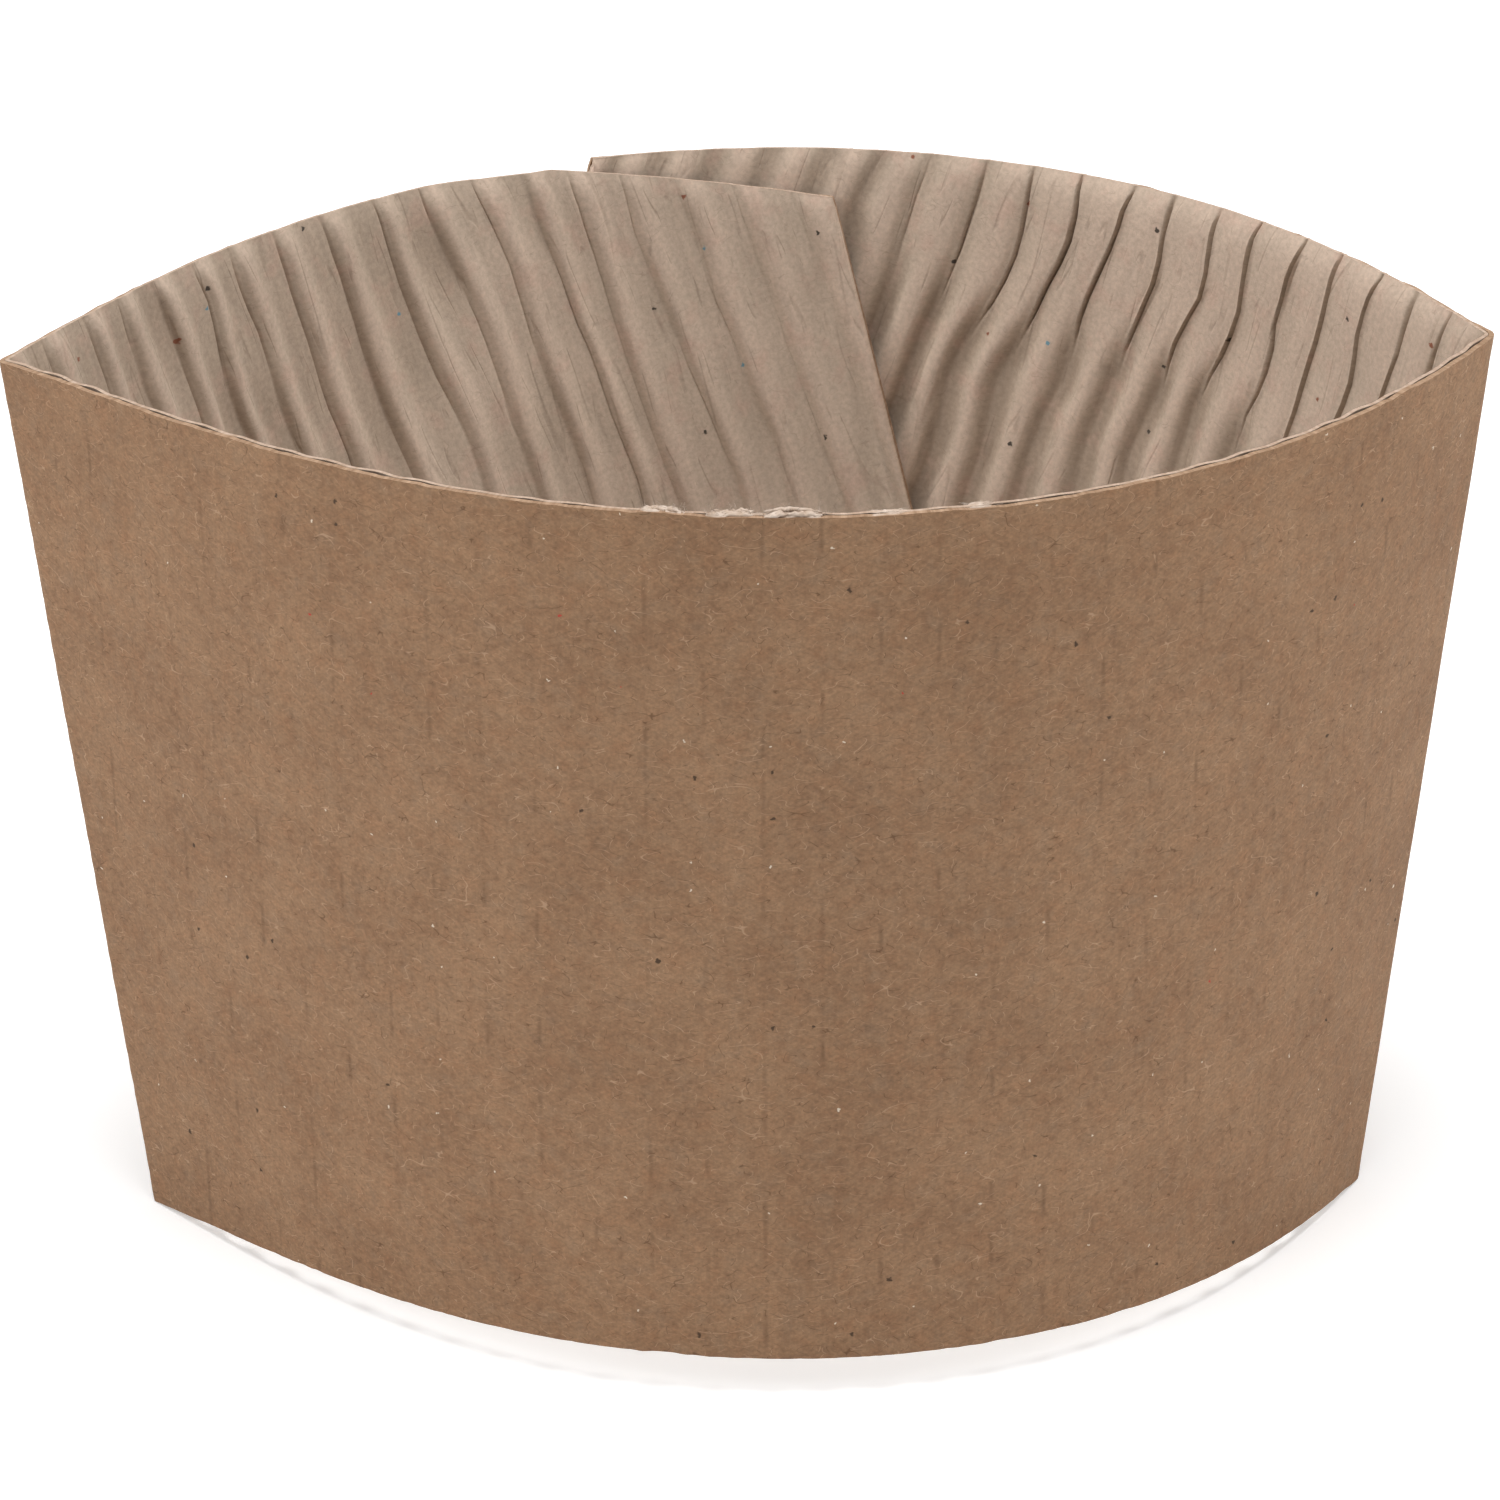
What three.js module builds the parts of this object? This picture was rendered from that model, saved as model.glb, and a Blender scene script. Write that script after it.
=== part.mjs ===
// Coffee cup sleeve of single-face corrugated board, folded, glued and pressed open.
// Millimetres, +Z up, front towards -Y, standing on its lower edge, origin under the middle of its box.
//
// The flat blank is a ring sector about an apex below it. Its flutes run side by side along
// the blank's middle line, so they stand upright at the front and lean over towards the glued lap.
// The opened sleeve is a cone of free shape: a point that lies at an angle and a distance from the
// apex in the blank lies at that distance in the cone, along a direction picked by the angle.

import * as THREE from 'three';

// Blank, measured with the sleeve pressed flat
const TOP_WIDTH = 127;
const BOTTOM_WIDTH = 106;
const SLANT_HEIGHT = 62;

// Board
const LINER_THICKNESS = 0.35;
const MEDIUM_THICKNESS = 0.25;
const FLUTE_HEIGHT = 0.8;
const FLUTE_PITCH = 3.77;
const FLUTE_SHIFT = 1.05;
const GLUE_LINE = 0.04;

// Creases down both sides: each bends over a narrow strip, and crushes the flutes over a wider one
const CREASE_REACH = 1.2;
const CRUSH_REACH = 3;
const CREASE_CRUSH = 0.8;

// Bend of the opened walls: radians of turning for each half panel of width, at the wall's middle.
// It eases off towards the creases and is a little stronger to the right.
const WALL_BEND = 1.43;
const BEND_EASE = 0.93;
const FRONT_LEAN = 0.31;
const BACK_LEAN = 0.21;

// Glued lap behind: how far each end runs past the middle of the back at the top edge. The end
// cuts lean away from the cone's slant there, so the lap is wider at the bottom
const OUTER_END_REACH = 10.9;
const FLAP_END_REACH = 5.5;
const END_CUT_LEAN = THREE.MathUtils.degToRad(15);
const END_TIP = 0.6;
const FLAP_RELIEF_LENGTH = 20;
const FLAP_RELIEF_ANGLE = THREE.MathUtils.degToRad(10);
const LAP_CLEARANCE = 0.2;
const STEP_LENGTH = 8;
const STEP_LEAD = 4.5;

// Facets
const FLUTE_SEGMENTS = 6;
const FRONT_ROWS = 2;
const BACK_ROWS = 3;
const CREASE_ROWS = 7;
const LAP_ROWS = 6;
const CURVE_STEPS = 400;
const SOLVER_STEPS = 40;
const DIFFERENCE_ANGLE = 0.002;
const COLUMN_MERGE = 0.12;

const TOP_RADIUS = SLANT_HEIGHT * TOP_WIDTH / (TOP_WIDTH - BOTTOM_WIDTH);
const BOTTOM_RADIUS = TOP_RADIUS - SLANT_HEIGHT;
const HALF_PANEL = TOP_WIDTH / 2 / TOP_RADIUS;
const BOARD_THICKNESS = LINER_THICKNESS + GLUE_LINE + FLUTE_HEIGHT + MEDIUM_THICKNESS;

const OUTER_END_ANGLE = 2 * HALF_PANEL + OUTER_END_REACH / TOP_RADIUS;
const FLAP_END_ANGLE = 2 * HALF_PANEL + FLAP_END_REACH / TOP_RADIUS;

// Walls of the opened cone

// Directions from the apex along one wall, left to right: a curve of unit speed on the unit
// sphere, convex towards -Y, with both ends level and centred on Z
function wallCurve(bend, lean) {
  const step = 2 * HALF_PANEL / CURVE_STEPS;
  const direction = new THREE.Vector3(0, 0, 1);
  const tangent = new THREE.Vector3(1, 0, 0);
  const curve = [direction.clone()];
  for (let i = 0; i < CURVE_STEPS; i += 1) {
    const place = (2 * i + 1) / CURVE_STEPS - 1;
    const turning = bend * (1 - BEND_EASE * place * place) + lean * place;
    const inward = new THREE.Vector3().crossVectors(direction, tangent);
    const spin = inward.clone().addScaledVector(direction, turning / HALF_PANEL);
    const angle = spin.length() * step;
    spin.normalize();
    direction.applyAxisAngle(spin, angle);
    tangent.applyAxisAngle(spin, angle);
    curve.push(direction.clone());
  }
  const first = curve[0];
  const last = curve[CURVE_STEPS];
  const across = last.clone().sub(first).normalize();
  const up = last.clone().add(first).normalize();
  const back = new THREE.Vector3().crossVectors(up, across);
  const level = new THREE.Matrix4().makeBasis(across, back, up).transpose();
  return curve.map((point) => point.clone().applyMatrix4(level));
}

function halfSpan(curve) {
  const end = curve[CURVE_STEPS];
  return Math.atan2(end.x, end.z);
}

// The back wall has the front wall's width, so its bend follows from meeting it at both creases
function backWallCurve(front) {
  let low = 0;
  let high = 2 * WALL_BEND;
  for (let i = 0; i < SOLVER_STEPS; i += 1) {
    const middle = (low + high) / 2;
    const tooWide = halfSpan(wallCurve(middle, BACK_LEAN)) > halfSpan(front);
    low = tooWide ? middle : low;
    high = tooWide ? high : middle;
  }
  const curve = wallCurve((low + high) / 2, BACK_LEAN);
  return curve.map((point) => new THREE.Vector3(point.x, -point.y, point.z));
}

const frontCurve = wallCurve(WALL_BEND, FRONT_LEAN);
const backCurve = backWallCurve(frontCurve);

// Direction on one wall at a place from -1, its left crease, to 1, its right crease
function wallDirection(curve, place) {
  const at = THREE.MathUtils.clamp((place + 1) / 2, 0, 1) * CURVE_STEPS;
  const index = Math.min(Math.floor(at), CURVE_STEPS - 1);
  return curve[index].clone().lerp(curve[index + 1], at - index).normalize();
}

// Direction at an angle of the blank, counted from the middle of the front to the right
function sharpDirection(angle) {
  const side = Math.sign(angle);
  const beyond = Math.abs(angle) - HALF_PANEL;
  if (beyond <= 0) {
    return wallDirection(frontCurve, angle / HALF_PANEL);
  }
  return wallDirection(backCurve, side * (1 - beyond / HALF_PANEL));
}

// The same with each crease rounded by a short quadratic curve
function direction(angle) {
  const side = Math.sign(angle);
  const reach = CREASE_REACH / TOP_RADIUS;
  const along = (Math.abs(angle) - HALF_PANEL) / (2 * reach) + 0.5;
  if (along <= 0 || along >= 1) {
    return sharpDirection(angle);
  }
  const before = sharpDirection(side * (HALF_PANEL - reach));
  const corner = sharpDirection(side * HALF_PANEL);
  const after = sharpDirection(side * (HALF_PANEL + reach));
  return before.lerp(corner, along).lerp(corner.clone().lerp(after, along), along).normalize();
}

// A point of the blank, folded round the cone and moved in from the board's outer face by a depth
function fold(x, y, depth) {
  const angle = Math.atan2(x, y);
  const ahead = direction(angle + DIFFERENCE_ANGLE);
  const tangent = ahead.sub(direction(angle - DIFFERENCE_ANGLE));
  const along = direction(angle);
  const outward = tangent.cross(along).normalize();
  return along.multiplyScalar(Math.hypot(x, y)).addScaledVector(outward, -depth);
}

// Outline of the blank, with x along the flutes' spacing and y along the flutes

function arcHeight(radius, x) {
  return Math.sqrt(radius * radius - x * x);
}

// The straight cut of an end, which runs down and in from the corner at the top edge
function endCutHeight(endAngle, x) {
  const cornerX = TOP_RADIUS * Math.sin(endAngle);
  const cornerY = TOP_RADIUS * Math.cos(endAngle);
  return cornerY - (cornerX - Math.abs(x)) / Math.tan(endAngle - END_CUT_LEAN);
}

// Straight edge of the glue flap, which leaves an arc of the blank at a slope to keep the flap's
// corners inside the outer end
function flapEdgeHeight(radius, slope, x) {
  const startAngle = FLAP_END_ANGLE - FLAP_RELIEF_LENGTH / TOP_RADIUS;
  const past = Math.abs(x) - radius * Math.sin(startAngle);
  return radius * Math.cos(startAngle) - Math.tan(startAngle + slope) * past;
}

function onFlap(radius, x) {
  const startAngle = FLAP_END_ANGLE - FLAP_RELIEF_LENGTH / TOP_RADIUS;
  return x < -radius * Math.sin(startAngle);
}

function topOfBlank(x) {
  const arc = arcHeight(TOP_RADIUS, x);
  return onFlap(TOP_RADIUS, x) ? Math.min(arc, flapEdgeHeight(TOP_RADIUS, FLAP_RELIEF_ANGLE, x)) : arc;
}

function bottomOfBlank(x) {
  const cut = endCutHeight(x < 0 ? FLAP_END_ANGLE : OUTER_END_ANGLE, x);
  const arc = Math.abs(x) < BOTTOM_RADIUS ? arcHeight(BOTTOM_RADIUS, x) : 0;
  const relieved = onFlap(BOTTOM_RADIUS, x) ? flapEdgeHeight(BOTTOM_RADIUS, -FLAP_RELIEF_ANGLE, x) : 0;
  return Math.max(arc, cut, relieved);
}

// Where a condition that holds at the blank's middle and fails at a far place starts to fail
function lastHolding(far, holds) {
  let inside = 0;
  let outside = far;
  for (let i = 0; i < SOLVER_STEPS; i += 1) {
    const middle = (inside + outside) / 2;
    const good = holds(middle);
    inside = good ? middle : inside;
    outside = good ? outside : middle;
  }
  return inside;
}

const blankTip = (x) => topOfBlank(x) - bottomOfBlank(x) > END_TIP;
const aboveCut = (x) => endCutHeight(x < 0 ? FLAP_END_ANGLE : OUTER_END_ANGLE, x) < bottomOfBlank(x);
const FLAP_TIP_X = lastHolding(-TOP_RADIUS * Math.sin(FLAP_END_ANGLE), blankTip);
const OUTER_TIP_X = lastHolding(TOP_RADIUS * Math.sin(OUTER_END_ANGLE), blankTip);
const FLAP_FOOT_X = lastHolding(FLAP_TIP_X, aboveCut);
const OUTER_FOOT_X = lastHolding(OUTER_TIP_X, aboveCut);

// Depths in the board

// Share of the flute height that is left at an angle of the blank
function fluteShare(angle) {
  const fromCrease = Math.abs(Math.abs(angle) - HALF_PANEL) * TOP_RADIUS / CRUSH_REACH;
  const crush = fromCrease < 1 ? CREASE_CRUSH * Math.cos(fromCrease * Math.PI / 2) : 0;
  return 1 - crush;
}

// How far the flap's side steps in to pass behind the outer end: all the way before it reaches
// the outer end's cut, and nothing a step's length earlier
function lapStep(x, y) {
  if (x > 0) {
    return 0;
  }
  const radius = Math.hypot(x, y);
  const angle = Math.atan2(x, y) + 4 * HALF_PANEL;
  const cornerX = TOP_RADIUS * Math.sin(OUTER_END_ANGLE);
  const cornerY = TOP_RADIUS * Math.cos(OUTER_END_ANGLE);
  const cutAngle = OUTER_END_ANGLE - END_CUT_LEAN;
  const cutX = cornerX - (cornerY - radius * Math.cos(angle)) * Math.tan(cutAngle);
  const covered = (cutX - radius * Math.sin(angle)) * Math.cos(cutAngle);
  const share = THREE.MathUtils.smoothstep(covered, -STEP_LEAD - STEP_LENGTH, -STEP_LEAD);
  return share * (BOARD_THICKNESS + LAP_CLEARANCE);
}

// Smooth kraft sheet, from its outer face to its glued face
function linerDepths() {
  return [0, LINER_THICKNESS];
}

// Waved sheet: its crests meet the glue lines, and its thickness is kept square to the wave
function mediumDepths(x, y) {
  const height = FLUTE_HEIGHT * fluteShare(Math.atan2(x, y));
  const phase = 2 * Math.PI * (x - FLUTE_SHIFT) / FLUTE_PITCH;
  const slope = Math.PI * height / FLUTE_PITCH * Math.sin(phase);
  const outer = LINER_THICKNESS + GLUE_LINE + height * (1 - Math.cos(phase)) / 2;
  return [outer, outer + MEDIUM_THICKNESS * Math.hypot(1, slope)];
}

// Grid of a sheet: columns follow the flutes, and each has its own number of rows

// A crease runs across the flutes, so it meets every column between its two ends
function nearCrease(x) {
  const upperEnd = TOP_RADIUS * Math.sin(HALF_PANEL) + CRUSH_REACH;
  const lowerEnd = BOTTOM_RADIUS * Math.sin(HALF_PANEL) - CRUSH_REACH;
  return Math.abs(x) > lowerEnd && Math.abs(x) < upperEnd;
}

function rowsAt(x) {
  if (nearCrease(x)) {
    return CREASE_ROWS;
  }
  if (lapStep(x, topOfBlank(x)) > 0 || lapStep(x, bottomOfBlank(x)) > 0) {
    return LAP_ROWS;
  }
  return Math.abs(x) < TOP_RADIUS * Math.sin(HALF_PANEL) ? FRONT_ROWS : BACK_ROWS;
}

// Column places: the blank's ends, and every so many of the segments that a flute has, counted
// from its crest
function columnPlaces(strideAt) {
  const fixed = [FLAP_TIP_X, FLAP_FOOT_X, OUTER_FOOT_X, OUTER_TIP_X];
  const places = [...fixed];
  const spacing = FLUTE_PITCH / FLUTE_SEGMENTS;
  const first = Math.ceil((FLAP_TIP_X - FLUTE_SHIFT) / spacing);
  for (let i = first; FLUTE_SHIFT + i * spacing < OUTER_TIP_X; i += 1) {
    const place = FLUTE_SHIFT + i * spacing;
    const isClear = fixed.every((other) => Math.abs(other - place) > COLUMN_MERGE);
    if (i % strideAt(place) === 0 && isClear) {
      places.push(place);
    }
  }
  return places.sort((a, b) => a - b);
}

function sheetGeometry(places, depthsAt) {
  const positions = [];
  const triangles = [];
  const addVertex = (point) => {
    positions.push(point.x, point.y, point.z);
    return positions.length / 3 - 1;
  };
  const columns = places.map((x) => {
    const rows = rowsAt(x);
    const column = [];
    for (let row = 0; row <= rows; row += 1) {
      const height = row / rows;
      const y = THREE.MathUtils.lerp(bottomOfBlank(x), topOfBlank(x), height);
      const step = lapStep(x, y);
      const [outer, inner] = depthsAt(x, y).map((depth) => addVertex(fold(x, y, depth + step)));
      column.push({ height, outer, inner });
    }
    return column;
  });
  const addQuad = (a, b, c, d) => {
    triangles.push(a, b, c, a, c, d);
  };
  // One face of the strip between two columns, which may differ in their number of rows
  const addStrip = (left, right, face, turned) => {
    let i = 0;
    let j = 0;
    while (i < left.length - 1 || j < right.length - 1) {
      const nextLeft = i < left.length - 1 ? left[i + 1].height : Infinity;
      const nextRight = j < right.length - 1 ? right[j + 1].height : Infinity;
      const climbLeft = nextLeft <= nextRight;
      const next = climbLeft ? left[i + 1][face] : right[j + 1][face];
      const base = [left[i][face], right[j][face]];
      triangles.push(...(turned ? base.reverse() : base), next);
      i += climbLeft ? 1 : 0;
      j += climbLeft ? 0 : 1;
    }
  };
  for (let i = 0; i < columns.length - 1; i += 1) {
    const left = columns[i];
    const right = columns[i + 1];
    addStrip(left, right, 'outer', false);
    addStrip(left, right, 'inner', true);
    const leftTop = left[left.length - 1];
    const rightTop = right[right.length - 1];
    addQuad(leftTop.outer, rightTop.outer, rightTop.inner, leftTop.inner);
    addQuad(left[0].inner, right[0].inner, right[0].outer, left[0].outer);
  }
  const first = columns[0];
  const last = columns[columns.length - 1];
  for (let row = 0; row < first.length - 1; row += 1) {
    addQuad(first[row].outer, first[row + 1].outer, first[row + 1].inner, first[row].inner);
  }
  for (let row = 0; row < last.length - 1; row += 1) {
    addQuad(last[row].inner, last[row + 1].inner, last[row + 1].outer, last[row].outer);
  }
  const geometry = new THREE.BufferGeometry();
  geometry.setAttribute('position', new THREE.Float32BufferAttribute(positions, 3));
  geometry.setIndex(triangles);
  return geometry;
}

// Resting place: the sleeve stands on both creases and on the middle of its heavier, glued wall
function setDown(geometries) {
  const crease = fold(
    BOTTOM_RADIUS * Math.sin(HALF_PANEL),
    BOTTOM_RADIUS * Math.cos(HALF_PANEL),
    0,
  );
  const backFoot = fold(
    BOTTOM_RADIUS * Math.sin(2 * HALF_PANEL),
    BOTTOM_RADIUS * Math.cos(2 * HALF_PANEL),
    0,
  );
  const tilt = Math.atan2(backFoot.z - crease.z, backFoot.y - crease.y);
  const box = new THREE.Box3();
  for (const geometry of geometries) {
    geometry.rotateX(-tilt);
    geometry.computeBoundingBox();
    box.union(geometry.boundingBox);
  }
  const centre = box.getCenter(new THREE.Vector3());
  for (const geometry of geometries) {
    geometry.translate(-centre.x, -centre.y, -box.min.z);
    geometry.computeVertexNormals();
  }
}

function namedSheet(name, geometry, colour, roughness) {
  const material = new THREE.MeshStandardMaterial({ color: colour, roughness, metalness: 0 });
  const mesh = new THREE.Mesh(geometry, material);
  mesh.name = name;
  return mesh;
}

const linerStride = (x) => (nearCrease(x) ? 1 : FLUTE_SEGMENTS);
const linerGeometry = sheetGeometry(columnPlaces(linerStride), linerDepths);
const mediumGeometry = sheetGeometry(columnPlaces(() => 1), mediumDepths);
setDown([linerGeometry, mediumGeometry]);

const sleeve = new THREE.Group();
sleeve.name = 'coffee_cup_sleeve';
sleeve.add(namedSheet('kraft_liner', linerGeometry, '#94755b', 0.85));
sleeve.add(namedSheet('fluted_medium', mediumGeometry, '#a49281', 0.9));

export default sleeve;
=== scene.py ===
import math

import bpy
import numpy as np
from mathutils import Matrix, Vector


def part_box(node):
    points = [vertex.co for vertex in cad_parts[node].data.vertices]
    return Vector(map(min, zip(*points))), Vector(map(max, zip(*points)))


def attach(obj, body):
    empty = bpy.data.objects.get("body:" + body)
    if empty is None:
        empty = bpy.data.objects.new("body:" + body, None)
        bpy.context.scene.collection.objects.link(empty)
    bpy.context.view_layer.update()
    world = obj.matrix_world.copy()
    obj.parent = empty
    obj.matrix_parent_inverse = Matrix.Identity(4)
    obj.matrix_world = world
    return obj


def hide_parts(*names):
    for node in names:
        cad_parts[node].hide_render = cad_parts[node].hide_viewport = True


bl_info = {
    "name": "Coffee cup sleeve",
    "version": (1, 0, 0),
    "blender": (4, 5, 0),
    "location": "View3D > Sidebar > Cup sleeve",
    "description": "Dresses the cup sleeve's frame in kraft liner, fluted medium and torn rim fibres",
    "category": "Object",
}

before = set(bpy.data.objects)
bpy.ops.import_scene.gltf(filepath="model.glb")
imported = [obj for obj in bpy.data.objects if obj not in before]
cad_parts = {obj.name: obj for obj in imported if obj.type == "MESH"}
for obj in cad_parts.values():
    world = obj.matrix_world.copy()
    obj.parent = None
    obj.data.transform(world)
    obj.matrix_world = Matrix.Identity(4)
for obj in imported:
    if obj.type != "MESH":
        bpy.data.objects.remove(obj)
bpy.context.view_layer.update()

# The blank is a ring sector about an apex below it. Its x runs across the flutes and its y along
# them, both in millimetres and as in the solids; a height share runs from its lower edge to its upper

# Flat widths and slant height
TOP_WIDTH = 127.0
BOTTOM_WIDTH = 106.0
SLANT_HEIGHT = 62.0
TOP_RADIUS = SLANT_HEIGHT * TOP_WIDTH / (TOP_WIDTH - BOTTOM_WIDTH)
BOTTOM_RADIUS = TOP_RADIUS - SLANT_HEIGHT
HALF_PANEL = TOP_WIDTH / 2 / TOP_RADIUS
# Board
LINER_THICKNESS = 0.35
MEDIUM_THICKNESS = 0.25
GLUE_LINE = 0.04
FULL_FLUTE = 0.8
BOARD_THICKNESS = LINER_THICKNESS + GLUE_LINE + FULL_FLUTE + MEDIUM_THICKNESS
FLUTE_PITCH = 3.77
FLUTE_SHIFT = 1.05
# Side creases: half length of the rounding, and how far and how much they crush the flutes
CREASE_REACH = 0.6
CRUSH_REACH = 3.0
CREASE_CRUSH = 0.8
RIM_CRUSH_REACH = 0.9
# At the back rim the liner was cut lower than the medium: where that starts, as a height share, and
# how far the liner drops and the medium rises
BACK_RIM_START = 0.985
LINER_DROP = 0.12
MEDIUM_RISE = 0.08
# Ragged line of the die-cut edges: size of its coarse and fine waves, and how far from an edge it
# reaches, as a height share
RAGGED_COARSE = 0.05
RAGGED_FINE = 0.03
RAGGED_REACH = 0.03
# Bend of the opened walls
WALL_BEND = 1.43
BEND_EASE = 0.93
FRONT_LEAN = 0.31
BACK_LEAN = 0.21
# Ends of the blank, their cuts, and the step of the flap behind the outer end
OUTER_END_ANGLE = 2 * HALF_PANEL + 10.9 / TOP_RADIUS
FLAP_END_ANGLE = 2 * HALF_PANEL + 5.5 / TOP_RADIUS
END_CUT_LEAN = math.radians(15)
END_TIP = 0.6
FLAP_RELIEF_LENGTH = 20.0
FLAP_RELIEF_ANGLE = math.radians(10)
LAP_CLEARANCE = 0.2
STEP_LENGTH = 8.0
STEP_LEAD = 4.5
CURVE_STEPS = 400
DIFFERENCE_ANGLE = 0.002
MILLIMETRE = 0.001


def linear_colour(text):
    """A colour written as sRGB hex, as the linear colour that Blender's sockets take."""
    shares = [int(text[i:i + 2], 16) / 255 for i in (1, 3, 5)]
    return [s / 12.92 if s <= 0.04045 else ((s + 0.055) / 1.055) ** 2.4 for s in shares] + [1.0]


class CupSleeveSizes(bpy.types.PropertyGroup):
    flute_height: bpy.props.FloatProperty(
        name="Flute height", description="Height of the flutes between the liner and the fluted medium",
        default=0.0008, min=0.0004, max=0.001, precision=5, unit="LENGTH")
    rim_crush: bpy.props.FloatProperty(
        name="Rim crush",
        description="Share of the flute height that the cutting die took along the edges",
        default=0.86, min=0.0, max=0.9, subtype="FACTOR")
    back_rim_crush: bpy.props.FloatProperty(
        name="Back rim crush",
        description="The same along the edges of the back wall, which the glued lap presses",
        default=0.8, min=0.0, max=0.9, subtype="FACTOR")
    flap_press: bpy.props.FloatProperty(
        name="Flap press",
        description="Share of the flute height that the gluing press took on the lap",
        default=0.38, min=0.0, max=0.8, subtype="FACTOR")
    print_through: bpy.props.FloatProperty(
        name="Flutes through the liner", description="How far the liner sags between the glue lines",
        default=0.00003, min=0.0, max=0.0001, precision=5, unit="LENGTH")
    fibre_count: bpy.props.IntProperty(
        name="Rim fibres", description="Loose fibres along the torn part of the front rim",
        default=510, min=0, max=1500)


class CupSleeveColours(bpy.types.PropertyGroup):
    kraft: bpy.props.FloatVectorProperty(
        name="Kraft liner", description="Brown of the smooth outer sheet", subtype="COLOR", size=4,
        min=0.0, max=1.0, default=linear_colour("#91725a"))
    fluting: bpy.props.FloatVectorProperty(
        name="Fluted medium", description="Grey-brown of the recycled fluted sheet", subtype="COLOR",
        size=4, min=0.0, max=1.0, default=linear_colour("#c0ae9b"))
    cut_edge: bpy.props.FloatVectorProperty(
        name="Cut edge", description="Pale brown of the freshly cut paper", subtype="COLOR", size=4,
        min=0.0, max=1.0, default=linear_colour("#c4ae9c"))
    torn_fibre: bpy.props.FloatVectorProperty(
        name="Torn fibres", description="Pinkish white of torn paper fibres", subtype="COLOR", size=4,
        min=0.0, max=1.0, default=linear_colour("#d3c3b5"))
    floor: bpy.props.FloatVectorProperty(
        name="Floor", description="Pale floor", subtype="COLOR", size=4,
        min=0.0, max=1.0, default=linear_colour("#f4f4f4"))


# Walls of the opened cone, as in the solids

def unit(vectors):
    return vectors / np.linalg.norm(vectors, axis=-1, keepdims=True)


def turned(vector, axis, angle):
    return (vector * math.cos(angle) + np.cross(axis, vector) * math.sin(angle)
            + axis * float(axis @ vector) * (1 - math.cos(angle)))


def wall_curve(bend, lean):
    """Directions from the apex along one wall, left crease to right crease."""
    step = 2 * HALF_PANEL / CURVE_STEPS
    direction = np.array([0.0, 0.0, 1.0])
    tangent = np.array([1.0, 0.0, 0.0])
    curve = [direction]
    for i in range(CURVE_STEPS):
        place = (2 * i + 1) / CURVE_STEPS - 1
        turning = bend * (1 - BEND_EASE * place * place) + lean * place
        spin = np.cross(direction, tangent) + direction * (turning / HALF_PANEL)
        angle = float(np.linalg.norm(spin)) * step
        axis = unit(spin)
        direction = turned(direction, axis, angle)
        tangent = turned(tangent, axis, angle)
        curve.append(direction)
    curve = np.array(curve)
    across = unit(curve[-1] - curve[0])
    up = unit(curve[-1] + curve[0])
    return curve @ np.array([across, np.cross(up, across), up]).T


def half_span(curve):
    return math.atan2(curve[-1][0], curve[-1][2])


def back_wall_curve(front):
    """The back wall has the front wall's width, so its bend follows from meeting it at both creases."""
    low, high = 0.0, 2 * WALL_BEND
    for _ in range(24):
        middle = (low + high) / 2
        if half_span(wall_curve(middle, BACK_LEAN)) > half_span(front):
            low = middle
        else:
            high = middle
    return wall_curve((low + high) / 2, BACK_LEAN) * [1, -1, 1]


FRONT_CURVE = wall_curve(WALL_BEND, FRONT_LEAN)
BACK_CURVE = back_wall_curve(FRONT_CURVE)


def wall_direction(curve, place):
    at = np.clip((place + 1) / 2, 0, 1) * CURVE_STEPS
    index = np.minimum(at.astype(int), CURVE_STEPS - 1)
    share = (at - index)[..., None]
    return unit(curve[index] * (1 - share) + curve[index + 1] * share)


def sharp_direction(angle):
    beyond = np.abs(angle) - HALF_PANEL
    front = wall_direction(FRONT_CURVE, angle / HALF_PANEL)
    back = wall_direction(BACK_CURVE, np.sign(angle) * (1 - beyond / HALF_PANEL))
    return np.where((beyond <= 0)[..., None], front, back)


def direction_at(angle):
    """The same with each crease rounded by a short quadratic curve."""
    side = np.sign(angle)
    reach = CREASE_REACH / TOP_RADIUS
    along = (np.abs(angle) - HALF_PANEL) / (2 * reach) + 0.5
    before = sharp_direction(side * (HALF_PANEL - reach))
    corner = sharp_direction(side * HALF_PANEL)
    after = sharp_direction(side * (HALF_PANEL + reach))
    share = np.clip(along, 0, 1)[..., None]
    rounded = unit((before * (1 - share) + corner * share) * (1 - share)
                   + (corner * (1 - share) + after * share) * share)
    outside = ((along <= 0) | (along >= 1))[..., None]
    return np.where(outside, sharp_direction(angle), rounded)


def fold(x, y, depth):
    """Points of the blank, folded round the cone and moved in from the board's outer face."""
    angle = np.arctan2(x, y)
    tangent = direction_at(angle + DIFFERENCE_ANGLE) - direction_at(angle - DIFFERENCE_ANGLE)
    along = direction_at(angle)
    outward = unit(np.cross(tangent, along))
    return along * np.hypot(x, y)[..., None] - outward * depth[..., None]


# Outline of the blank

def arc_height(radius, x):
    return np.sqrt(np.maximum(radius * radius - x * x, 0))


def end_cut_height(end_angle, x):
    drop = (TOP_RADIUS * math.sin(end_angle) - np.abs(x)) / math.tan(end_angle - END_CUT_LEAN)
    return TOP_RADIUS * math.cos(end_angle) - drop


def flap_edge_height(radius, slope, x):
    start = FLAP_END_ANGLE - FLAP_RELIEF_LENGTH / TOP_RADIUS
    return radius * math.cos(start) - math.tan(start + slope) * (np.abs(x) - radius * math.sin(start))


def on_flap(radius, x):
    return x < -radius * math.sin(FLAP_END_ANGLE - FLAP_RELIEF_LENGTH / TOP_RADIUS)


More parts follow.
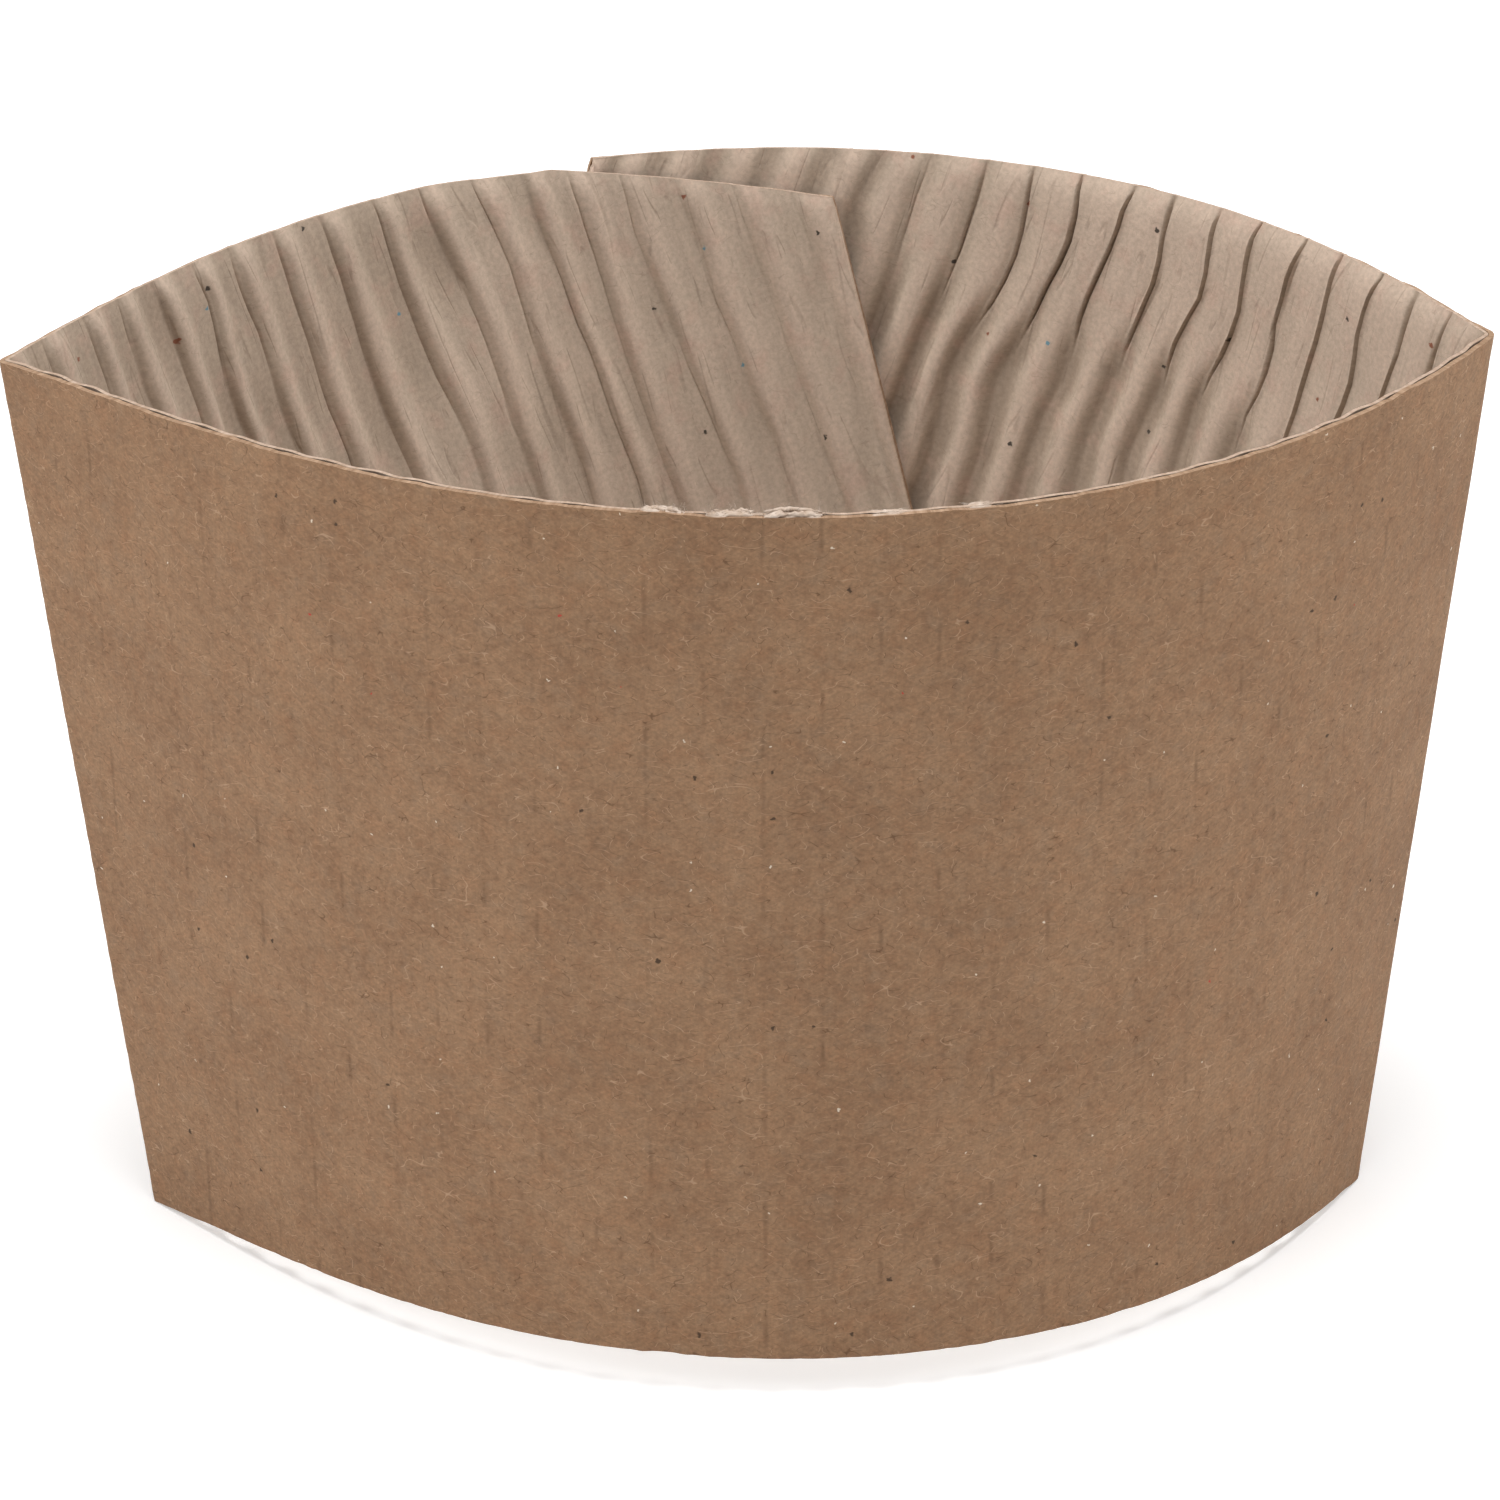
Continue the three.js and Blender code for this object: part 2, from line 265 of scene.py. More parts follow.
def top_of_blank(x):
    arc = arc_height(TOP_RADIUS, x)
    relieved = np.minimum(arc, flap_edge_height(TOP_RADIUS, FLAP_RELIEF_ANGLE, x))
    return np.where(on_flap(TOP_RADIUS, x), relieved, arc)


def bottom_of_blank(x):
    cut = np.where(x < 0, end_cut_height(FLAP_END_ANGLE, x), end_cut_height(OUTER_END_ANGLE, x))
    lower = np.maximum(arc_height(BOTTOM_RADIUS, x), cut)
    relieved = flap_edge_height(BOTTOM_RADIUS, -FLAP_RELIEF_ANGLE, x)
    return np.where(on_flap(BOTTOM_RADIUS, x), np.maximum(lower, relieved), lower)


def last_on_blank(far):
    """The furthest x towards one end where the blank is still taller than its tip."""
    inside, outside = 0.0, far
    for _ in range(40):
        middle = (inside + outside) / 2
        place = np.array([middle])
        if top_of_blank(place)[0] - bottom_of_blank(place)[0] > END_TIP:
            inside = middle
        else:
            outside = middle
    return inside


FLAP_TIP_X = last_on_blank(-TOP_RADIUS * math.sin(FLAP_END_ANGLE))
OUTER_TIP_X = last_on_blank(TOP_RADIUS * math.sin(OUTER_END_ANGLE))


def smooth(value, low, high):
    share = np.clip((value - low) / (high - low), 0, 1)
    return share * share * (3 - 2 * share)


def lap_step(x, y):
    """How far the flap's side steps in to pass behind the outer end."""
    radius = np.hypot(x, y)
    angle = np.arctan2(x, y) + 4 * HALF_PANEL
    corner_x = TOP_RADIUS * math.sin(OUTER_END_ANGLE)
    corner_y = TOP_RADIUS * math.cos(OUTER_END_ANGLE)
    cut_angle = OUTER_END_ANGLE - END_CUT_LEAN
    cut_x = corner_x - (corner_y - radius * np.cos(angle)) * math.tan(cut_angle)
    covered = (cut_x - radius * np.sin(angle)) * math.cos(cut_angle)
    share = smooth(covered, -STEP_LEAD - STEP_LENGTH, -STEP_LEAD)
    return np.where(x > 0, 0, share * (BOARD_THICKNESS + LAP_CLEARANCE))


def crease_share(angle):
    """Share of the flute height that the side creases leave."""
    near = np.clip(np.abs(np.abs(angle) - HALF_PANEL) * TOP_RADIUS / CRUSH_REACH, 0, 1)
    return 1 - CREASE_CRUSH * np.cos(near * math.pi / 2)


# Flutes as the corrugating rolls and the hand that opened the sleeve left them. Each row of a table
# starts with a place along the blank's x; the other numbers are read between the rows

# Drift of the flutes from their even spacing, in millimetres
DRIFT = np.array([
    (-130, 0.7), (-112, 0.4), (-108, -0.5), (-102, -1.0), (-97, -0.8), (-92, 0.0), (-85, 0.2),
    (-78, -0.2), (-70, -0.4), (-62, 0.0), (50, 0.0), (66, 2.4), (76, 2.5), (84, 2.5), (95, 2.1),
    (112, 1.5), (136, 1.0)])

# Shape of the valley between two crests: x, height share, share of depth that is a narrow slit,
# half width of the slit, then width and flat part towards higher x, and towards lower x.
# Widths are shares of the flute pitch
VALLEY_UPPER = np.array([
    (-130, 0.95, 0.25, 0.04, 0.72, 0.40, 0.26, 0.00),
    (-112, 1.12, 0.36, 0.045, 0.80, 0.50, 0.22, 0.00),
    (-64, 0.85, 0.26, 0.045, 0.78, 0.45, 0.28, 0.00),
    (-60, 1.00, 0.00, 0.05, 0.50, 0.00, 0.50, 0.00),
    (60, 1.00, 0.00, 0.05, 0.50, 0.00, 0.50, 0.00),
    (66, 0.95, 0.78, 0.075, 0.20, 0.00, 0.78, 0.00),
    (100, 1.08, 0.78, 0.08, 0.20, 0.00, 0.78, 0.00),
    (107, 1.05, 0.50, 0.08, 0.28, 0.05, 0.66, 0.05),
    (114, 0.80, 0.25, 0.06, 0.36, 0.15, 0.52, 0.10),
    (136, 0.60, 0.25, 0.06, 0.40, 0.15, 0.50, 0.10)])
VALLEY_LOWER = np.array([
    (-130, 0.95, 0.20, 0.04, 0.72, 0.40, 0.26, 0.00),
    (-112, 1.18, 0.32, 0.045, 0.78, 0.50, 0.22, 0.00),
    (-64, 0.88, 0.22, 0.045, 0.76, 0.45, 0.28, 0.00),
    (-60, 1.00, 0.00, 0.05, 0.50, 0.00, 0.50, 0.00),
    (60, 1.00, 0.00, 0.05, 0.50, 0.00, 0.50, 0.00),
    (66, 0.95, 0.10, 0.05, 0.42, 0.15, 0.50, 0.15),
    (106, 1.05, 0.00, 0.06, 0.40, 0.25, 0.46, 0.25),
    (136, 1.00, 0.00, 0.06, 0.42, 0.25, 0.46, 0.25)])

# Height share at which a slit kinks and opens into a wide valley
KINK = np.array([(-130, 0.80), (-60, 0.85), (60, 0.85), (66, 0.72), (78, 0.75), (84, 0.81), (102, 0.82),
    (108, 0.86), (136, 0.9)])
# Half height of the kink as a height share, and how far a slit jogs below it in millimetres
KINK_SPAN = 0.035
KINK_JOG = 0.55

# Wrinkled, half torn patches on the back wall: seed, x, height share, reach along x, reach in height
# share, spacing of the wrinkles and their size in millimetres
WRINKLED_PATCHES = (
    (51, 97.0, 0.70, 3.0, 0.065, 0.45, 0.10),
    (52, -84.5, 0.90, 3.6, 0.090, 0.85, 0.13),
    (53, -110.0, 0.62, 5.0, 0.120, 0.80, 0.05),
)


def read_table(table, x):
    return [np.interp(x, table[:, 0], table[:, column]) for column in range(1, table.shape[1])]


# Flutes that get random numbers of their own
NOISE_LINES = 1000


def flute_noise(seed, valley, height, waves):
    """Smooth random course along each flute, a different one for each whole number of valley."""
    dice = np.random.default_rng(seed)
    sizes = dice.normal(0, 1, (NOISE_LINES, len(waves)))
    starts = dice.uniform(0, 2 * math.pi, (NOISE_LINES, len(waves)))
    low = np.floor(valley).astype(int)
    share = valley - low
    share = share * share * (3 - 2 * share)
    total = 0
    for column, wave in enumerate(waves):
        for index, weight in ((low, 1 - share), (low + 1, share)):
            size = sizes[index + NOISE_LINES // 2, column]
            start = starts[index + NOISE_LINES // 2, column]
            total = total + weight * size * np.sin(2 * math.pi * wave * height + start)
    return total / math.sqrt(len(waves))


def flute_warp(x, height):
    """How far the flutes' lines stand off their even spacing, in millimetres."""
    valley = (x - FLUTE_SHIFT) / FLUTE_PITCH
    drift, = read_table(DRIFT, x)
    kink, = read_table(KINK, x)
    kink = kink + 0.012 * flute_noise(11, valley, 0 * height, (0.0, 0.3))
    right_back = smooth(x, 62, 72) * (1 - smooth(x, 102, 110))
    above = np.clip((height - kink) / (1 - kink), 0, 1)
    bow = -0.35 * np.sin(math.pi * above) * np.where(height > kink, 1, 0)
    jog = KINK_JOG * (1 - smooth(height, kink - KINK_SPAN, kink + KINK_SPAN))
    jog = jog * smooth(height, 0.45, 0.7)
    wander = 0.20 * flute_noise(3, valley, height, (1.1, 2.7))
    wander = wander + (0.10 + 0.12 * right_back) * flute_noise(5, valley, height, (4.6, 7.5))
    wander = wander + 0.04 * flute_noise(7, valley, height, (11.0, 17.0))
    ends = smooth(x, FLAP_TIP_X, FLAP_TIP_X + 4) * (1 - smooth(x, OUTER_TIP_X - 4, OUTER_TIP_X))
    return ends * (drift + right_back * (bow + jog) + wander)


# A distance across the valley past every width, in flute pitches
NOT_HERE = 9


def valley_depth(place, x, height):
    """Share of the flute height that is taken off at a place of -0.5 to 0.5 across a valley."""
    valley = (x - FLUTE_SHIFT) / FLUTE_PITCH
    kink, = read_table(KINK, x)
    upper = smooth(height, kink - KINK_SPAN, kink + KINK_SPAN)
    numbers = [low * (1 - upper) + high * upper
               for low, high in zip(read_table(VALLEY_LOWER, x), read_table(VALLEY_UPPER, x))]
    tallness, slit, slit_width, width_up, flat_up, width_down, flat_down = numbers
    width_up = width_up * (1 + 0.12 * flute_noise(21, valley, height, (0.8, 3.1)))
    width_down = width_down * (1 + 0.12 * flute_noise(22, valley, height, (0.8, 3.1)))
    slit_width = slit_width * (1 + 0.25 * flute_noise(23, valley, height, (2.1, 5.3)))
    broken = np.where(x < 0, 0.55, 0.12) * flute_noise(24, valley, height, (1.6, 3.9))
    slit = slit * np.clip(1 + broken, 0.1, 1.25)

    def side(distance, width, flat):
        reach = np.clip(distance / width, 0, 1)
        return 1 - smooth(reach, flat, 1)

    # A wide valley reaches past the crest's middle, so the neighbour's side counts there too
    broad_up = side(np.where(place >= 0, place, NOT_HERE), width_up, flat_up)
    broad_down = side(np.where(place <= 0, -place, NOT_HERE), width_down, flat_down)
    next_down = side(np.where(place >= 0, 1 - place, NOT_HERE), width_down, flat_down)
    next_up = side(np.where(place <= 0, 1 + place, NOT_HERE), width_up, flat_up)
    broad = np.where(place >= 0, np.maximum(broad_up, next_down), np.maximum(broad_down, next_up))
    narrow = side(np.abs(place), slit_width, 0.0)
    depth = (1 - slit) * broad + slit * narrow * (1 - (1 - slit) * broad)
    return np.clip(depth, 0, 1), tallness


def back_share(x, y):
    """0 on the front wall and 1 on the back wall."""
    return smooth(np.abs(np.arctan2(x, y)), HALF_PANEL, HALF_PANEL * 1.05)


def edge_distance(x, y):
    """Distance in millimetres to the nearest cut edge at the top or bottom."""
    return np.minimum(top_of_blank(x) - y, y - bottom_of_blank(x))


def flute_profile(place, straight, x, y, height, sizes):
    """Depth of the medium's glued face behind the liner, at a place across a valley."""
    taken, tallness = valley_depth(place, straight, height)
    lap = lap_step(x, y) / (BOARD_THICKNESS + LAP_CLEARANCE)
    pressed = 1 - sizes.flap_press * lap
    valley = (straight - FLUTE_SHIFT) / FLUTE_PITCH
    behind = back_share(x, y)
    crush = sizes.rim_crush * (1 - behind) + sizes.back_rim_crush * behind
    crush = np.clip(crush + 0.18 * flute_noise(33, valley, 0 * height, (0.0, 0.2)), 0, 0.92)
    rim = 1 - crush * np.exp(-np.maximum(edge_distance(x, y), 0) / RIM_CRUSH_REACH)
    uneven = 1 + 0.05 * flute_noise(31, valley, height, (0.9, 2.1))
    crease = crease_share(np.arctan2(x, y))
    full = sizes.flute_height / MILLIMETRE * crease * pressed * rim * uneven * tallness
    creased = 0
    for seed, middle, middle_height, reach, height_reach, step, size in WRINKLED_PATCHES:
        off, off_height = (straight - middle) / reach, (height - middle_height) / height_reach
        patch = np.exp(-off ** 2 - off_height ** 2)
        creased = creased + size * flute_noise(seed, straight / step, height, (0.7, 4.0)) * patch
    # The second value is the valley's depth share, which the material turns into painted shade in the
    # valleys and a painted highlight on the crests; it is halved on the lap, so the lap is painted
    # lighter
    return np.maximum(full * (1 - taken) + creased, 0), taken * (1 - 0.5 * lap)


# Meshes

# Rows of points between the two cut edges' own rows, and least gap between the last two columns
MIDDLE_ROWS = 33
COLUMN_GAP = 0.05
# Side of the square of board that the UV map covers, and its margin below the blank
UV_SIDE = 280.0
UV_MARGIN = 40.0
# Faces that meet at more than this are shaded as an edge
EDGE_ANGLE = math.radians(58)


def resting_place():
    """Rotation and shift that set the folded sleeve down as the frame has it."""
    foot = BOTTOM_RADIUS * np.array([math.sin(HALF_PANEL), math.sin(2 * HALF_PANEL)])
    rise = BOTTOM_RADIUS * np.array([math.cos(HALF_PANEL), math.cos(2 * HALF_PANEL)])
    crease, back = fold(foot, rise, np.zeros(2))
    tilt = -math.atan2(back[2] - crease[2], back[1] - crease[1])
    cosine, sine = math.cos(tilt), math.sin(tilt)
    turn = np.array([[1, 0, 0], [0, cosine, -sine], [0, sine, cosine]])
    x = np.linspace(FLAP_TIP_X, OUTER_TIP_X, 1200)[:, None] * np.ones((1, 9))
    share = np.linspace(0, 1, 9)
    y = bottom_of_blank(x) * (1 - share) + top_of_blank(x) * share
    liner = [fold(x, y, lap_step(x, y) + depth) @ turn.T for depth in (0, LINER_THICKNESS)]
    points = np.concatenate([face.reshape(-1, 3) for face in liner])
    low, high = (np.array(corner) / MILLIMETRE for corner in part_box("kraft_liner"))
    shift = (low + high) / 2 - (points.min(0) + points.max(0)) / 2
    return turn, shift


TURN, SHIFT = resting_place()


def set_down(points):
    return (points @ TURN.T + SHIFT) * MILLIMETRE


def row_shares():
    """Height shares of the rows, closer together along both cut edges."""
    near = np.array([0, 0.25, 0.6, 1.1, 1.8, 2.8]) / SLANT_HEIGHT
    middle = np.linspace(near[-1], 1 - near[-1], MIDDLE_ROWS)[1:-1]
    return np.concatenate([near, middle, 1 - near[::-1]])


def column_places(shares):
    """Places along x: the same few in each flute, as shares of the pitch from its glue line."""
    first = math.floor((FLAP_TIP_X - FLUTE_SHIFT) / FLUTE_PITCH) - 1
    last = math.ceil((OUTER_TIP_X - FLUTE_SHIFT) / FLUTE_PITCH) + 1
    valleys = np.repeat(np.arange(first, last + 1), len(shares))
    across = np.tile(np.array(shares), last - first + 1)
    x = FLUTE_SHIFT + (valleys + across) * FLUTE_PITCH
    inside = (x > FLAP_TIP_X + COLUMN_GAP) & (x < OUTER_TIP_X - COLUMN_GAP)
    return np.concatenate([[FLAP_TIP_X], x[inside], [OUTER_TIP_X]])


def place_in_flute(x):
    at = (x - FLUTE_SHIFT) / FLUTE_PITCH
    return at - np.round(at)


def sheet_object(name, outer, inner, x, y, extra):
    """A closed sheet between two grids of points, which keeps its place on the blank."""
    columns, rows = x.shape
    count = columns * rows
    number = np.arange(count).reshape(columns, rows)
    a, b, c, d = number[:-1, :-1], number[1:, :-1], number[1:, 1:], number[:-1, 1:]
    outer_faces = np.stack([a, b, c, d], -1).reshape(-1, 4)
    inner_faces = np.stack([d, c, b, a], -1).reshape(-1, 4) + count
    bands = []
    for line in (number[:, -1], number[::-1, 0], number[0], number[-1, ::-1]):
        bands.append(np.stack([line[:-1], line[1:], line[1:] + count, line[:-1] + count], -1))
    band_faces = np.concatenate(bands)
    faces = np.concatenate([outer_faces, inner_faces, band_faces])
    points = set_down(np.concatenate([outer.reshape(-1, 3), inner.reshape(-1, 3)]))
    mesh = bpy.data.meshes.new(name)
    mesh.vertices.add(len(points))
    mesh.vertices.foreach_set("co", points.astype(np.float32).ravel())
    mesh.loops.add(faces.size)
    mesh.loops.foreach_set("vertex_index", faces.astype(np.int32).ravel())
    mesh.polygons.add(len(faces))
    mesh.polygons.foreach_set("loop_start", np.arange(0, faces.size, 4, dtype=np.int32))
    index = np.zeros(len(faces), dtype=np.int32)
    index[-len(band_faces):] = 1
    mesh.polygons.foreach_set("material_index", index)
    mesh.polygons.foreach_set("use_smooth", np.ones(len(faces), dtype=bool))
    mesh.update(calc_edges=True)
    both_x = np.concatenate([x.ravel(), x.ravel()])
    both_y = np.concatenate([y.ravel(), y.ravel()])
    place = mesh.attributes.new("blank_place", "FLOAT_VECTOR", "POINT")
    edge = np.clip(edge_distance(both_x, both_y), 0, 50)
    place.data.foreach_set("vector",
        np.stack([both_x, both_y - BOTTOM_RADIUS, edge], -1).astype(np.float32).ravel())
    for key, values in extra.items():
        both = np.concatenate([values.ravel(), values.ravel()])
        mesh.attributes.new(key, "FLOAT", "POINT").data.foreach_set("value", both.astype(np.float32))
    layer = mesh.uv_layers.new(name="UVMap")
    corner = faces.ravel()
    uv = np.stack([both_x[corner] / UV_SIDE + 0.5,
                   (both_y[corner] - BOTTOM_RADIUS + UV_MARGIN) / UV_SIDE], -1)
    layer.data.foreach_set("uv", uv.astype(np.float32).ravel())
    mesh.set_sharp_from_angle(angle=EDGE_ANGLE)
    mesh.validate()
    piece = bpy.data.objects.new(name, mesh)
    bpy.context.collection.objects.link(piece)
    return piece


# Materials

def add_node(tree, kind, inputs=None, **settings):
    """Adds one node, sets its properties, and gives its sockets values, links or sRGB hex colours."""
    node = tree.nodes.new(kind)
    for key, value in settings.items():
        setattr(node, key, value)
    for key, value in (inputs or {}).items():
        if isinstance(value, bpy.types.NodeSocket):
            tree.links.new(value, node.inputs[key])
        else:
            node.inputs[key].default_value = linear_colour(value) if isinstance(value, str) else value
    return node


def arithmetic(tree, operation, *values):
    return add_node(tree, "ShaderNodeMath", dict(enumerate(values)), operation=operation).outputs[0]


def stretched(tree, place, shares):
    return add_node(
        tree, "ShaderNodeVectorMath", {0: place, 1: shares}, operation="MULTIPLY").outputs[0]


def noise_over(tree, place, scale, detail, roughness=0.5):
    return add_node(tree, "ShaderNodeTexNoise", {
        "Vector": place, "Scale": scale, "Detail": detail, "Roughness": roughness},
        noise_dimensions="2D").outputs[0]


def ranged(tree, value, reach, results, course="LINEAR"):
    """A value whose reach is brought to these results, and held at them outside it."""
    return add_node(tree, "ShaderNodeMapRange", {
        "Value": value, "From Min": reach[0], "From Max": reach[1], "To Min": results[0],
        "To Max": results[1]}, interpolation_type=course).outputs[0]


def mix_colours(tree, share, first, second):
    return add_node(
        tree, "ShaderNodeMix", {0: share, 6: first, 7: second}, data_type="RGBA").outputs[2]


def between(tree, pattern, reach, first, last):
    """A colour that goes from the first to the last over a pattern's reach of values."""
    return mix_colours(tree, ranged(tree, pattern, reach, (0.0, 1.0)), first, last)


def tinted(tree, colour, pattern, reach, amounts, tint):
    """A colour with a tint laid over it: the pattern's reach of values gives these amounts."""
    return mix_colours(tree, ranged(tree, pattern, reach, amounts), colour, tint)


def marked(tree, colour, mask, amount, mark):
    """A colour with marks laid over it where the mask shows, by this amount at most."""
    return mix_colours(tree, arithmetic(tree, "MULTIPLY", mask, amount), colour, mark)


def shaded(tree, colour, pattern, reach, levels):
    """A colour made darker and lighter by a pattern: its reach of values gives these levels."""
    return add_node(tree, "ShaderNodeVectorMath", {
        0: colour, "Scale": ranged(tree, pattern, reach, levels)}, operation="SCALE").outputs[0]


def blank_place(tree):
    """Place on the flat blank in millimetres: across, along, and the distance to a cut edge."""
    return add_node(tree, "ShaderNodeAttribute", attribute_name="blank_place").outputs["Vector"]


def new_material(name):
    material = bpy.data.materials.new(name)
    material.use_nodes = True
    tree = material.node_tree
    tree.nodes.clear()
    return material, tree


def finish_material(tree, colour, roughness, *layers):
    """Paper of one colour and roughness. Each layer of its bumps is a strength, a depth in metres,
    which is below 0 where the pattern goes in, and a pattern."""
    below = {}
    for strength, depth, pattern in layers:
        bump = add_node(tree, "ShaderNodeBump", {
            "Strength": strength, "Distance": abs(depth), "Height": pattern, **below},
            invert=depth < 0)
        below = {"Normal": bump.outputs[0]}
    shader = add_node(tree, "ShaderNodeBsdfPrincipled", {
        "Base Color": colour, "Roughness": roughness, "Metallic": 0.0, "IOR": 1.5,
        "Specular IOR Level": 0.25, **below})
    add_node(tree, "ShaderNodeOutputMaterial", {"Surface": shader.outputs["BSDF"]})


# Loose fibres of the paper's surface. Each layer: cells per millimetre, half width of the line on
# the noise's scale, share of the line that is hidden, offset. Real fibres are 1 to 3 mm long and
# 0.03 mm wide; they are drawn about 0.06 mm wide, so that they show
LIGHT_FIBRES = ((0.62, 0.008, 0.57, 3.1), (0.85, 0.010, 0.58, 17.7), (1.15, 0.012, 0.57, 31.9))
DARK_FIBRES = ((0.80, 0.010, 0.57, 47.3), (1.25, 0.014, 0.57, 61.1))

# The same for the fine cracks of the medium, in place shrunk along the flutes
WRINKLE_LAYERS = ((0.50, 0.045, 0.62, 5.3), (0.75, 0.050, 0.64, 23.9))


def fibre_mask(tree, place, layers):
    """Short curved lines: where a noise passes its middle value, cut up by a second noise."""
    total = 0.0
    for cells, width, hidden, offset in layers:
        moved = add_node(tree, "ShaderNodeMapping", {
            "Vector": place, "Location": (offset, offset * 1.7, 0),
            "Rotation": (0, 0, math.sin(offset) * 0.5), "Scale": (0.5, 1.0, 1.0)}).outputs[0]
        course = noise_over(tree, moved, cells, 0.6, 0.4)
        distance = arithmetic(tree, "ABSOLUTE", arithmetic(tree, "SUBTRACT", course, 0.5))
        line = ranged(tree, distance, (0.0, width), (1.0, 0.0), "SMOOTHSTEP")
        gate = noise_over(tree, moved, cells * 1.7, 0.0)
        shown = ranged(tree, gate, (hidden, hidden + 0.05), (0.0, 1.0), "SMOOTHSTEP")
        total = arithmetic(tree, "MAXIMUM", arithmetic(tree, "MULTIPLY", line, shown), total)
    return total


def speck_mask(tree, place, cells, size, rarity):
    """Small irregular dots in a few of a Voronoi's cells, and a random number for each cell."""
    wobble = add_node(tree, "ShaderNodeTexNoise", {"Vector": place, "Scale": 3.0, "Detail": 1.0},
                      noise_dimensions="2D")
    bent = add_node(tree, "ShaderNodeVectorMath", {
        0: wobble.outputs[1], 1: (0.35, 0.35, 0.0), 2: place}, operation="MULTIPLY_ADD")
    spots = add_node(tree, "ShaderNodeTexVoronoi", {"Vector": bent.outputs[0], "Scale": cells},
                     voronoi_dimensions="2D")
    dot = ranged(tree, spots.outputs["Distance"], (size * 0.5, size), (1.0, 0.0), "SMOOTHSTEP")
    parts = add_node(tree, "ShaderNodeSeparateColor", {"Color": spots.outputs["Color"]})
    chosen = arithmetic(tree, "GREATER_THAN", parts.outputs[0], rarity)
    return arithmetic(tree, "MULTIPLY", dot, chosen), parts.outputs[1]


def kraft_liner_material(colours):
    """Kraft linerboard, machine made and left unbleached and uncoated: matt, evenly brown with cloudy
    formation, short pale and dark fibres lying in the surface, and a few specks of recycled pulp."""
    material, tree = new_material("machine_made_kraft_liner")
    place = blank_place(tree)
    # Formation: clouds of 8 mm and tufts of 1 mm, as the pulp drained on the wire
    clouds = noise_over(tree, place, 0.12, 3.0)
    colour = between(tree, clouds, (0.3, 0.7), "#826348", "#9b7b5d")
    tufts = noise_over(tree, place, 0.9, 4.0, 0.6)
    tuft_colour = between(tree, tufts, (0.3, 0.7), "#7d5c43", "#a07e60")
    colour = mix_colours(tree, 0.45, colour, tuft_colour)
    colour = mix_colours(tree, 0.25, colour, colours.kraft)
    tints = noise_over(tree, place, 0.55, 4.0, 0.65)
    colour = tinted(tree, colour, tints, (0.52, 0.72), (0.0, 0.24), "#9c6f4f")
    colour = tinted(tree, colour, tints, (0.46, 0.28), (0.0, 0.20), "#8a7865")
    # Grain of single fibres: 0.15 mm, drawn a little coarser than the real 0.03 mm to show
    for lean, length, width in ((0.55, 1.3, 4.6), (-0.6, 1.5, 5.2), (0.08, 1.9, 4.4), (1.5, 2.2, 5.0)):
        laid = add_node(tree, "ShaderNodeMapping", {
            "Vector": place, "Rotation": (0, 0, lean), "Scale": (1 / length, 1 / width, 1.0)},
            vector_type="TEXTURE").outputs[0]
        grain = noise_over(tree, laid, 1.0, 2.0, 0.6)
        colour = shaded(tree, colour, grain, (0.25, 0.75), (0.91, 1.09))
    # Painted shade: dark lines where the liner sags between two glue lines, one flute pitch apart,
    # standing in for the shade in the sag's hollows
    across = add_node(tree, "ShaderNodeSeparateXYZ", {0: place}).outputs[0]
    flutes = arithmetic(tree, "DIVIDE", arithmetic(tree, "SUBTRACT", across, FLUTE_SHIFT), FLUTE_PITCH)
    from_middle = arithmetic(tree, "SUBTRACT", arithmetic(tree, "FRACT", flutes), 0.5)
    apart = arithmetic(tree, "ABSOLUTE", from_middle)
    sag_shade_line = ranged(tree, apart, (0.0, 0.07), (1.0, 0.0), "SMOOTHSTEP")
    broken = noise_over(tree, stretched(tree, place, (0.27, 0.24, 1.0)), 1.0, 2.0)
    shown = ranged(tree, broken, (0.48, 0.75), (0.0, 1.0), "SMOOTHSTEP")
    colour = marked(tree, colour, arithmetic(tree, "MULTIPLY", sag_shade_line, shown), 0.38, "#5d4532")
    colour = marked(tree, colour, fibre_mask(tree, place, LIGHT_FIBRES), 0.50, "#c3a284")
    colour = marked(tree, colour, fibre_mask(tree, place, DARK_FIBRES), 0.7, "#5e442f")
    specks, _ = speck_mask(tree, place, 0.40, 0.080, 0.965)
    colour = mix_colours(tree, specks, colour, "#4c3a2c")
    pale, tint = speck_mask(tree, place, 0.22, 0.022, 0.75)
    reddish = arithmetic(tree, "GREATER_THAN", tint, 0.85)
    colour = mix_colours(tree, pale, colour, mix_colours(tree, reddish, "#d9cbb8", "#b0443a"))
    finish_material(tree, colour, 0.82, (0.35, 0.00004, grain), (0.4, 0.00006, tufts))
    return material


